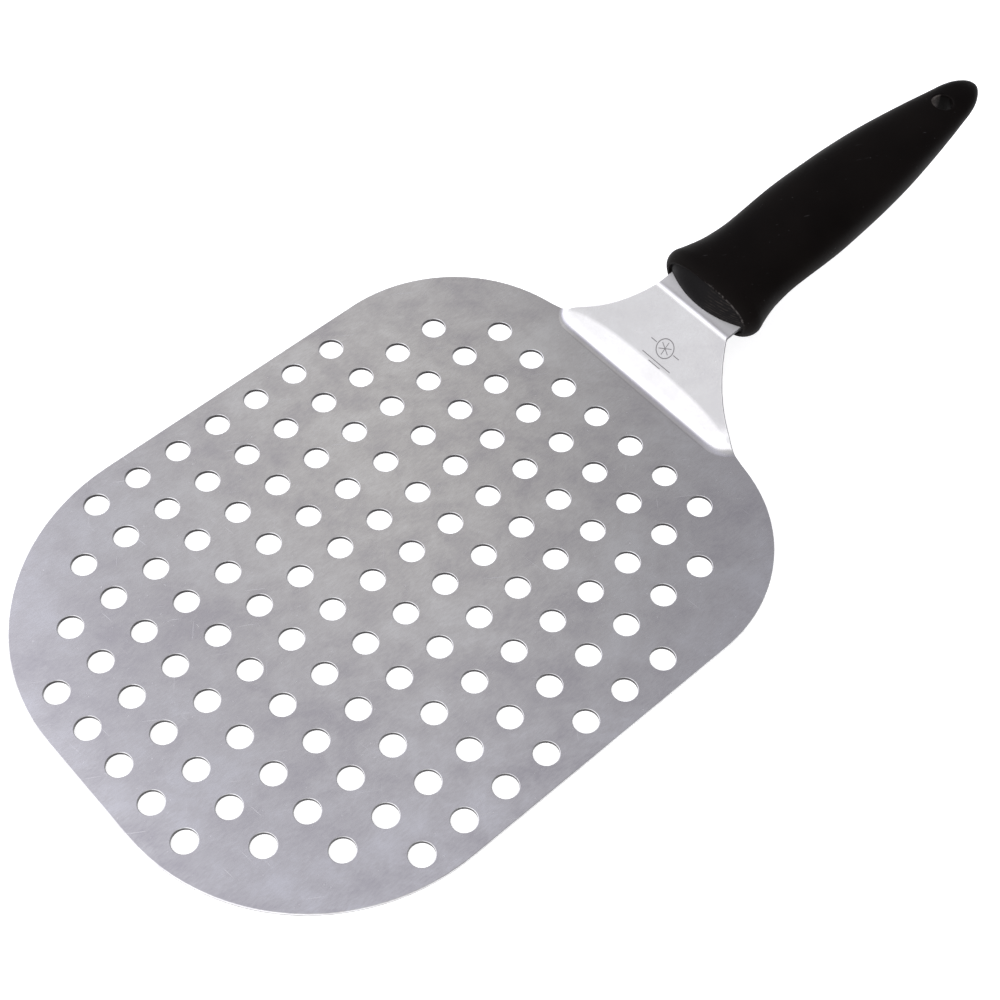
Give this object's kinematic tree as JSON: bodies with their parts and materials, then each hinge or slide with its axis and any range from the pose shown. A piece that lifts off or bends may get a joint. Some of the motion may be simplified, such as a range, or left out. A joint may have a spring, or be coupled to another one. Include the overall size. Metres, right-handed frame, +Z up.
{
  "type": "pizza peel",
  "caption": "Flat perforated sheet-steel pizza peel with rounded corners, a bent-up neck and a moulded oval grip with a hanging hole.",
  "frame": {"origin": "underside of the flat head, on the centre line, midway between the 7th and 8th rows of holes counted from the front edge", "axes": "+X along the centre line to the handle, +Y across the head, +Z up out of the head's top face"},
  "size_m": [0.3837, 0.18, 0.04],
  "materials": {
    "steel": "satin",
    "core": "fine moulded texture",
    "grip": "smooth matte"
  },
  "bodies": {
    "root": {"blade_sheet": "steel", "handle_core": "core", "handle_grip": "grip"}
  },
  "joints": []
}
